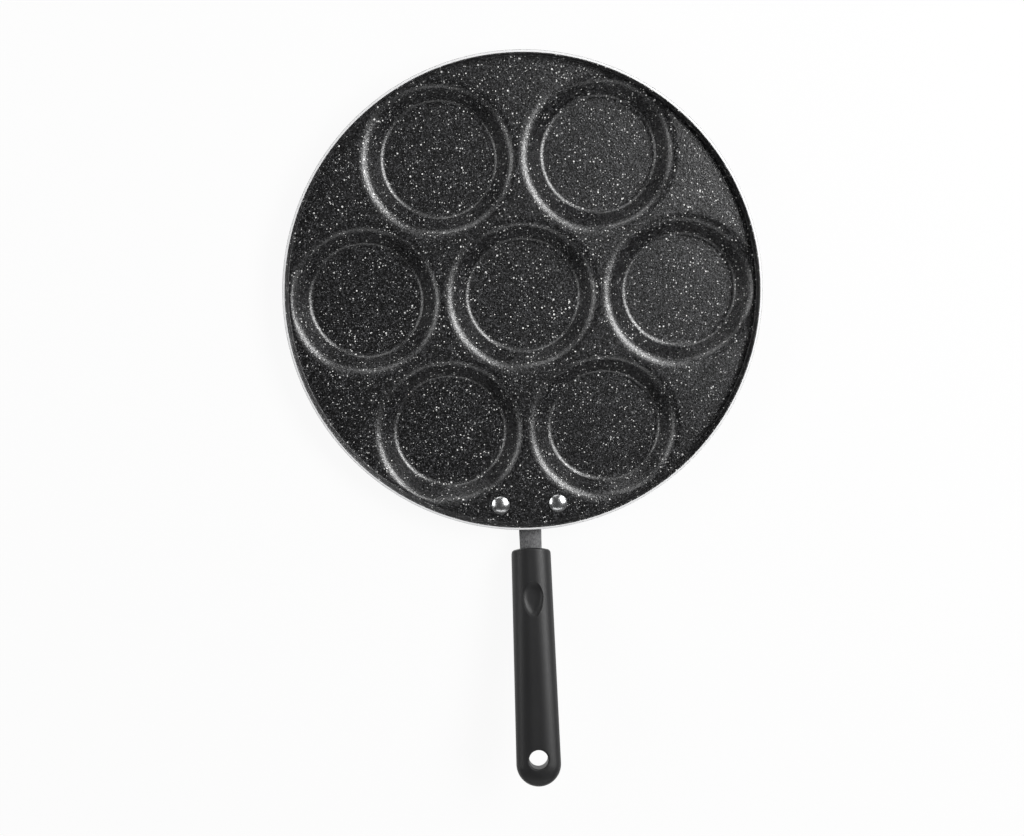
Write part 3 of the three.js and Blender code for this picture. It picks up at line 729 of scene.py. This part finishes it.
def moulded_grip(resin):
    """The grip as a crowned top and underside, joined by the sides and the front, with the dimple pressed
    into the top, the hanging hole through both, and the screw's recess in the underside."""
    rows, screw_row, dimple_row, hole_row = grip_rows()
    top, under = grip_faces(rows, screw_row, dimple_row, hole_row)
    right_side = np.linspace(top[:, -1], under[:, -1], GRIP_SIDE_STEPS + 1, axis=1)
    left_side = np.linspace(under[:, 0], top[:, 0], GRIP_SIDE_STEPS + 1, axis=1)
    section = np.concatenate([top[0], right_side[0, 1:-1], under[0, ::-1], left_side[0, 1:]])
    in_hole = opening_cells(top, hole_row)
    in_recess = opening_cells(under, screw_row)
    grids = [
        (top, ~in_hole),
        (under, ~(in_hole | in_recess)),
        (right_side, None),
        (left_side, None),
        (front_loops(section), None),
        (hole_loops(top, under, hole_row, rows[hole_row]), None),
        (recess_loops(under, screw_row), None),
    ]
    patches = [(in_grip_frame(*np.moveaxis(grid, 2, 0)), 0, keep) for grid, keep in grids]
    return add_piece("moulded_grip", patches, [resin], "handle_grip", sharp=GRIP_SHARP_EDGE)


# Screw and washer

def cross_bar(along, across):
    """One bar of the cross: 1 where it is deepest, 0 outside, with sloping ends and sides."""
    ends = np.clip((CROSS_LENGTH / 2 - np.abs(along)) / CROSS_END_SLOPE, 0, 1)
    sides = np.clip((CROSS_WIDTH / 2 - np.abs(across)) / CROSS_SIDE_SLOPE, 0, 1)
    return ends * sides


def grip_screw(zinc):
    """The screw turned about its axis, with a cross of two bars sunk into the face of its head."""
    head_top = washer_seat() - FIT_GAP - WASHER_THICKNESS - FIT_GAP
    face = head_top - SCREW_HEAD_HEIGHT
    face_radius = SCREW_HEAD_RADIUS - SCREW_HEAD_ROUND
    shank_top = BRACKET_THICKNESS / 2 + FIT_GAP + NUT_THICKNESS
    flat = line((0, face), (face_radius, face), SCREW_FACE_STEPS)
    edge = arc(face_radius, face + SCREW_HEAD_ROUND, SCREW_HEAD_ROUND, -QUARTER, 0, SCREW_EDGE_STEPS)
    shank = [(SCREW_HEAD_RADIUS, head_top), (SCREW_SHANK_RADIUS, head_top),
             (SCREW_SHANK_RADIUS, shank_top), (0, shank_top)]
    profile = np.concatenate([flat[:-1], edge, shank])
    points = around_axis(profile, line(0, FULL_TURN, SCREW_TURN_STEPS))
    x, y, up = np.moveaxis(points, 2, 0)
    on_face = np.arange(len(profile)) < len(flat)
    sunk = CROSS_DEPTH * np.maximum(cross_bar(x, y), cross_bar(y, x)) * on_face
    placed = in_grip_frame(x, SCREW_INSET + y, up + sunk)
    return add_piece("grip_screw", [(placed, 0, None)], [zinc], "handle_screw")


def split_washer(spring_steel):
    """A rounded oblong, an oval of fourth powers, carried around the screw from one side of the split to the
    other and shut at both ends."""
    inner = SCREW_SHANK_RADIUS + FIT_GAP
    split = math.asin(WASHER_SPLIT / 2 / SCREW_HEAD_RADIUS)
    angle = line(split, FULL_TURN - split, WASHER_TURN_STEPS)[:, None]
    turn = line(0, FULL_TURN, WASHER_SECTION_STEPS)[None, :]
    squared = np.sqrt(np.sqrt(np.cos(turn) ** 4 + np.sin(turn) ** 4))
    radial = np.cos(turn) / squared * (SCREW_HEAD_RADIUS - inner) / 2
    lift = np.sin(turn) / squared * WASHER_THICKNESS / 2
    fold = np.ones_like(angle)
    angle = np.concatenate([angle[:1], angle, angle[-1:]])
    fold = np.concatenate([0 * fold[:1], fold, 0 * fold[-1:]])
    radius = (inner + SCREW_HEAD_RADIUS) / 2 + radial
    up = washer_seat() - FIT_GAP - WASHER_THICKNESS / 2 + lift * fold
    points = in_grip_frame(radius * np.cos(angle), SCREW_INSET + radius * np.sin(angle), up)
    return add_piece("split_washer", [(points, 0, None)], [spring_steel], "spring_washer")


# Materials

def linear(hex_colour):
    """An sRGB hex colour as linear red, green, blue and alpha."""
    channels = [int(hex_colour[start:start + 2], 16) / 255 for start in (1, 3, 5)]
    light = [value / 12.92 if value <= 0.04045 else ((value + 0.055) / 1.055) ** 2.4 for value in channels]
    return (*light, 1.0)


def add_node(tree, kind, inputs=None, **settings):
    """Adds a node with its settings, and fills its sockets with numbers or with other nodes' outputs."""
    made = tree.nodes.new(kind)
    for name, value in settings.items():
        setattr(made, name, value)
    for socket, value in (inputs or {}).items():
        if isinstance(value, bpy.types.NodeSocket):
            tree.links.new(value, made.inputs[socket])
        else:
            made.inputs[socket].default_value = value
    return made


def new_material(name):
    """An empty material with its surface shader and the object's own coordinates in metres."""
    material = bpy.data.materials.new(name)
    material.use_nodes = True
    tree = material.node_tree
    tree.nodes.clear()
    shader = add_node(tree, "ShaderNodeBsdfPrincipled")
    add_node(tree, "ShaderNodeOutputMaterial", {"Surface": shader.outputs["BSDF"]})
    place = add_node(tree, "ShaderNodeTexCoord").outputs["Object"]
    return material, tree, shader, place


def tone_and_shine(tree, shader, tone, colours, shine, roughness):
    """Base colour between two colours by one noise, and roughness between two values by another."""
    colour = add_node(tree, "ShaderNodeMix", {
        "Factor": tone.outputs["Fac"], "A": linear(colours[0]), "B": linear(colours[1])}, data_type="RGBA")
    tree.links.new(colour.outputs["Result"], shader.inputs["Base Color"])
    spread = add_node(tree, "ShaderNodeMapRange", {
        "Value": shine.outputs["Fac"], "From Min": NOISE_LOW, "From Max": NOISE_HIGH,
        "To Min": roughness[0], "To Max": roughness[1]})
    tree.links.new(spread.outputs["Result"], shader.inputs["Roughness"])


def flecks(tree, place, spacing, radius, share, crowding):
    """Flecks of up to the given radius, in a share of cells of the given spacing, both in millimetres: 1
    inside a fleck, 0 outside. The crowding, about 1, makes them larger or smaller."""
    cells = add_node(tree, "ShaderNodeTexVoronoi", {"Vector": place, "Scale": 1 / (spacing * MM)})
    chance = add_node(tree, "ShaderNodeSeparateColor", {"Color": cells.outputs["Color"]}).outputs["Red"]
    size = add_node(tree, "ShaderNodeMapRange", {
        "Value": chance, "From Min": 1 - share, "From Max": 1.0, "To Min": 0.0, "To Max": radius / spacing})
    crowded = add_node(tree, "ShaderNodeMath", {0: size.outputs["Result"], 1: crowding}, operation="MULTIPLY")
    inside = add_node(tree, "ShaderNodeMath", {0: crowded.outputs[0], 1: cells.outputs["Distance"]},
                      operation="SUBTRACT")
    return add_node(tree, "ShaderNodeMapRange", {
        "Value": inside.outputs[0], "From Min": 0.0,
        "From Max": FLECK_FADE * radius / spacing}).outputs["Result"]


def stone_colour(tree, place, dust):
    """Colour of the stone-effect coating: near-black charcoal, a share of grey dust, and over them the layers
    of pale flecks, larger in some patches than in others, with ragged edges."""
    patch = add_node(tree, "ShaderNodeTexNoise", {
        "Vector": place, "Scale": 1 / (FLECK_PATCH * MM), "Detail": 3.0})
    crowding = add_node(tree, "ShaderNodeMapRange", {
        "Value": patch.outputs["Fac"], "From Min": NOISE_LOW, "From Max": NOISE_HIGH,
        "To Min": 0.75, "To Max": 1.25})
    wobble = add_node(tree, "ShaderNodeTexNoise", {
        "Vector": place, "Scale": 1 / (FLECK_WOBBLE * MM), "Detail": 1.0})
    ragged = add_node(tree, "ShaderNodeVectorMath", {
        0: wobble.outputs["Color"], 1: [FLECK_STRAY * MM] * 3, 2: place}, operation="MULTIPLY_ADD")
    dusty = add_node(tree, "ShaderNodeMapRange", {"Value": dust, "From Min": 0.7, "From Max": 1.0})
    colour = add_node(tree, "ShaderNodeMix", {
        "Factor": dusty.outputs["Result"], "A": linear("#030304"), "B": linear("#4c4c4e")}, data_type="RGBA")
    for spacing, radius, share, tone in FLECK_LAYERS:
        mask = flecks(tree, ragged.outputs[0], spacing, radius, share, crowding.outputs["Result"])
        colour = add_node(tree, "ShaderNodeMix", {
            "Factor": mask, "A": colour.outputs["Result"], "B": linear(tone)}, data_type="RGBA")
    return colour.outputs["Result"]


def speckled_nonstick():
    """Stone-effect non-stick coating, sprayed: a dark satin ground under a thin clear topcoat, with a pebbled
    grain that breaks up its highlights, fine specks that differ in gloss, and pale flecks."""
    material, tree, shader, place = new_material("sprayed stone-effect non-stick")
    specks = add_node(tree, "ShaderNodeTexVoronoi", {"Vector": place, "Scale": 1 / (DUST_SPACING * MM)})
    chance = add_node(tree, "ShaderNodeSeparateColor", {"Color": specks.outputs["Color"]})
    tree.links.new(stone_colour(tree, place, chance.outputs["Green"]), shader.inputs["Base Color"])
    sheen = add_node(tree, "ShaderNodeMapRange", {
        "Value": chance.outputs["Red"], "To Min": 0.3, "To Max": 0.37})
    tree.links.new(sheen.outputs["Result"], shader.inputs["Roughness"])
    gloss = add_node(tree, "ShaderNodeMapRange", {
        "Value": chance.outputs["Blue"], "To Min": 0.2, "To Max": 0.7})
    tree.links.new(gloss.outputs["Result"], shader.inputs["Specular IOR Level"])
    shader.inputs["IOR"].default_value = 1.9
    shader.inputs["Coat Weight"].default_value = 0.25
    shader.inputs["Coat Roughness"].default_value = 0.335
    pebbles = add_node(tree, "ShaderNodeTexNoise", {
        "Vector": place, "Scale": 1 / (PEBBLE * MM), "Detail": 1.0})
    bump = add_node(tree, "ShaderNodeBump", {
        "Height": pebbles.outputs["Fac"], "Strength": 1.0, "Distance": PEBBLE_HEIGHT * MM})
    tree.links.new(bump.outputs["Normal"], shader.inputs["Normal"])
    tree.links.new(bump.outputs["Normal"], shader.inputs["Coat Normal"])
    return material


def turned_aluminium():
    """Bare aluminium, trimmed on a lathe: a pale satin with faint tool marks, and little mirror, so that the
    thin lip stays white."""
    material, tree, shader, place = new_material("turned bare aluminium")
    marks = add_node(tree, "ShaderNodeTexNoise", {
        "Vector": place, "Scale": 1 / (TOOL_MARK * MM), "Detail": 2.0})
    tone_and_shine(tree, shader, marks, ("#f0f1f2", "#fdfdfd"), marks, (0.5, 0.65))
    shader.inputs["Metallic"].default_value = 0.2
    return material


def heat_lacquer():
    """Heat-resistant lacquer, sprayed on the outside: cloudy satin black with a faint orange peel."""
    material, tree, shader, place = new_material("heat-resistant black lacquer")
    cloud = add_node(tree, "ShaderNodeTexNoise", {
        "Vector": place, "Scale": 1 / (LACQUER_CLOUD * MM), "Detail": 3.0})
    tone_and_shine(tree, shader, cloud, ("#1a1a1b", "#28282a"), cloud, (0.38, 0.5))
    peel = add_node(tree, "ShaderNodeTexNoise", {
        "Vector": place, "Scale": 1 / (LACQUER_PEEL * MM), "Detail": 2.0})
    bump = add_node(tree, "ShaderNodeBump", {
        "Height": peel.outputs["Fac"], "Strength": 0.3, "Distance": LACQUER_PEEL_HEIGHT * MM})
    tree.links.new(bump.outputs["Normal"], shader.inputs["Normal"])
    return material


def polished_aluminium():
    """Cold-formed aluminium of the rivets: bright, with faint scuffs that soften its reflections."""
    material, tree, shader, place = new_material("cold-formed polished aluminium")
    scuff = add_node(tree, "ShaderNodeTexNoise", {
        "Vector": place, "Scale": 1 / (RIVET_SCUFF * MM), "Detail": 4.0})
    tone_and_shine(tree, shader, scuff, ("#cfd0d2", "#eceded"), scuff, (0.2, 0.28))
    shader.inputs["Metallic"].default_value = 0.94
    return material


def rolled_steel(name, dark, light, smooth, rough):
    """Steel as it comes from the press: grey, with a grain drawn out along the strip that varies its colour
    and its roughness."""
    material, tree, shader, place = new_material(name)
    drawn = add_node(tree, "ShaderNodeMapping", {"Vector": place, "Scale": (1.0, STEEL_DRAW, 1.0)})
    grain = add_node(tree, "ShaderNodeTexNoise", {
        "Vector": drawn.outputs["Vector"], "Scale": 1 / (STEEL_GRAIN * MM), "Detail": 3.0})
    speckle = add_node(tree, "ShaderNodeMapRange", {
        "Value": grain.outputs["Fac"], "From Min": 0.25, "From Max": 0.75})
    colour = add_node(tree, "ShaderNodeMix", {
        "Factor": speckle.outputs["Result"], "A": linear(dark), "B": linear(light)}, data_type="RGBA")
    tree.links.new(colour.outputs["Result"], shader.inputs["Base Color"])
    shine = add_node(tree, "ShaderNodeMapRange", {
        "Value": speckle.outputs["Result"], "To Min": smooth, "To Max": rough})
    tree.links.new(shine.outputs["Result"], shader.inputs["Roughness"])
    bump = add_node(tree, "ShaderNodeBump", {
        "Height": grain.outputs["Fac"], "Strength": 0.3, "Distance": STEEL_GRAIN_HEIGHT * MM})
    tree.links.new(bump.outputs["Normal"], shader.inputs["Normal"])
    shader.inputs["Metallic"].default_value = 1.0
    return material


def moulded_phenolic():
    """Phenolic resin, compression moulded: satin black with a fine eggshell texture and faint flow marks."""
    material, tree, shader, place = new_material("moulded black phenolic resin")
    eggshell = add_node(tree, "ShaderNodeTexNoise", {
        "Vector": place, "Scale": 1 / (EGGSHELL * MM), "Detail": 2.0})
    flow = add_node(tree, "ShaderNodeMapping", {"Vector": place, "Scale": (1.0, FLOW_DRAW, 1.0)})
    marks = add_node(tree, "ShaderNodeTexNoise", {
        "Vector": flow.outputs["Vector"], "Scale": 1 / (FLOW_MARK * MM), "Detail": 3.0})
    tone_and_shine(tree, shader, marks, ("#1a1a1b", "#262627"), eggshell, (0.42, 0.5))
    bump = add_node(tree, "ShaderNodeBump", {
        "Height": eggshell.outputs["Fac"], "Strength": 0.3, "Distance": EGGSHELL_HEIGHT * MM})
    tree.links.new(bump.outputs["Normal"], shader.inputs["Normal"])
    return material


# Stage

def floor_paint():
    """White paint: camera and mirror rays see mostly plain white, with part of the real, shadowed floor mixed
    in, and from below nothing at all."""
    material = bpy.data.materials.new("white studio floor")
    material.use_nodes = True
    tree = material.node_tree
    tree.nodes.clear()
    paint = add_node(tree, "ShaderNodeBsdfDiffuse", {"Color": linear("#f2f2f2")})
    white = add_node(tree, "ShaderNodeEmission", {"Strength": 1.0})
    rays = add_node(tree, "ShaderNodeLightPath").outputs
    seen = add_node(tree, "ShaderNodeMath", {0: rays["Is Camera Ray"], 1: rays["Is Glossy Ray"]},
                    operation="MAXIMUM")
    seen = add_node(tree, "ShaderNodeMath", {0: seen.outputs[0], 1: rays["Is Transmission Ray"]},
                    operation="MAXIMUM")
    share = add_node(tree, "ShaderNodeMath", {0: seen.outputs[0], 1: FLOOR_WHITE}, operation="MULTIPLY")
    lit = add_node(tree, "ShaderNodeMixShader", {
        0: share.outputs[0], 1: paint.outputs[0], 2: white.outputs[0]})
    clear = add_node(tree, "ShaderNodeBsdfTransparent")
    side = add_node(tree, "ShaderNodeNewGeometry")
    surface = add_node(tree, "ShaderNodeMixShader", {
        0: side.outputs["Backfacing"], 1: lit.outputs[0], 2: clear.outputs[0]})
    add_node(tree, "ShaderNodeOutputMaterial", {"Surface": surface.outputs[0]})
    return material


def white_floor():
    """A square floor just below the pan."""
    mesh = bpy.data.meshes.new("studio_floor")
    signs = ((-1, -1), (1, -1), (1, 1), (-1, 1))
    mesh.from_pydata([(x * FLOOR_HALF, y * FLOOR_HALF, -FLOOR_DROP) for x, y in signs], [], [(0, 1, 2, 3)])
    mesh.materials.append(floor_paint())
    floor = bpy.data.objects.new("studio_floor", mesh)
    bpy.context.scene.collection.objects.link(floor)


def studio_world():
    """A white backdrop near the horizon under a dark ceiling, the same to the camera and to other rays."""
    world = bpy.data.worlds.new("studio")
    world.use_nodes = True
    tree = world.node_tree
    tree.nodes.clear()
    towards = add_node(tree, "ShaderNodeTexCoord").outputs["Generated"]
    height = add_node(tree, "ShaderNodeSeparateXYZ", {"Vector": towards}).outputs["Z"]
    tone = add_node(tree, "ShaderNodeMapRange", {
        "Value": height, "From Min": BACKDROP_TOP, "From Max": CEILING_START,
        "To Min": BACKDROP_LIGHT, "To Max": CEILING_LIGHT})
    light = add_node(tree, "ShaderNodeBackground", {"Color": tone.outputs["Result"]})
    add_node(tree, "ShaderNodeOutputWorld", {"Surface": light.outputs["Background"]})
    bpy.context.scene.world = world


def softbox(name, azimuth, elevation, width, height, brightness):
    """An oblong lamp that faces the pan's middle, azimuth from +X towards +Y. Its power is its brightness
    times pi times its area."""
    lamp = bpy.data.lights.new(name, "AREA")
    lamp.shape = "RECTANGLE"
    lamp.size = width
    lamp.size_y = height
    lamp.energy = brightness * math.pi * width * height
    holder = bpy.data.objects.new(name, lamp)
    turn, rise = math.radians(azimuth), math.radians(elevation)
    away = Vector((math.cos(rise) * math.cos(turn), math.cos(rise) * math.sin(turn), math.sin(rise)))
    holder.location = away * LAMP_DISTANCE
    holder.rotation_euler = away.to_track_quat("Z", "Y").to_euler()
    holder.visible_camera = False
    bpy.context.scene.collection.objects.link(holder)


def photo_camera():
    """The camera over the pan, a little behind its middle and turned so that the handle points down."""
    camera = bpy.data.cameras.new("photo_camera")
    camera.sensor_width = CAMERA_SENSOR
    camera.lens = CAMERA_LENS
    holder = bpy.data.objects.new("photo_camera", camera)
    holder.location = CAMERA_PLACE
    tilt = Euler([math.radians(angle) for angle in CAMERA_TILT], "XYZ")
    holder.rotation_euler = tilt.to_matrix().transposed().to_euler()
    bpy.context.scene.collection.objects.link(holder)
    bpy.context.scene.camera = holder


# The object
zinc = rolled_steel("zinc-plated steel", "#8d9093", "#b9bcc0", 0.28, 0.42)
spring = rolled_steel("spring steel", "#55575a", "#77797c", 0.35, 0.5)
pan_sheet(speckled_nonstick(), turned_aluminium(), heat_lacquer())
rivet_metal = polished_aluminium()
rivet("rivet_dome_left", "rivet_left", rivet_metal)
rivet("rivet_dome_right", "rivet_right", rivet_metal)
neck_bracket(rolled_steel("pressed mild steel", "#545455", "#949495", 0.5, 0.65))
moulded_grip(moulded_phenolic())
grip_screw(zinc)
split_washer(spring)
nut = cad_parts["square_nut"]
nut.data.materials.clear()
nut.data.materials.append(zinc)

# The studio
white_floor()
studio_world()
for lamp in LAMPS:
    softbox(*lamp)
photo_camera()
bpy.context.scene.view_settings.view_transform = "Standard"
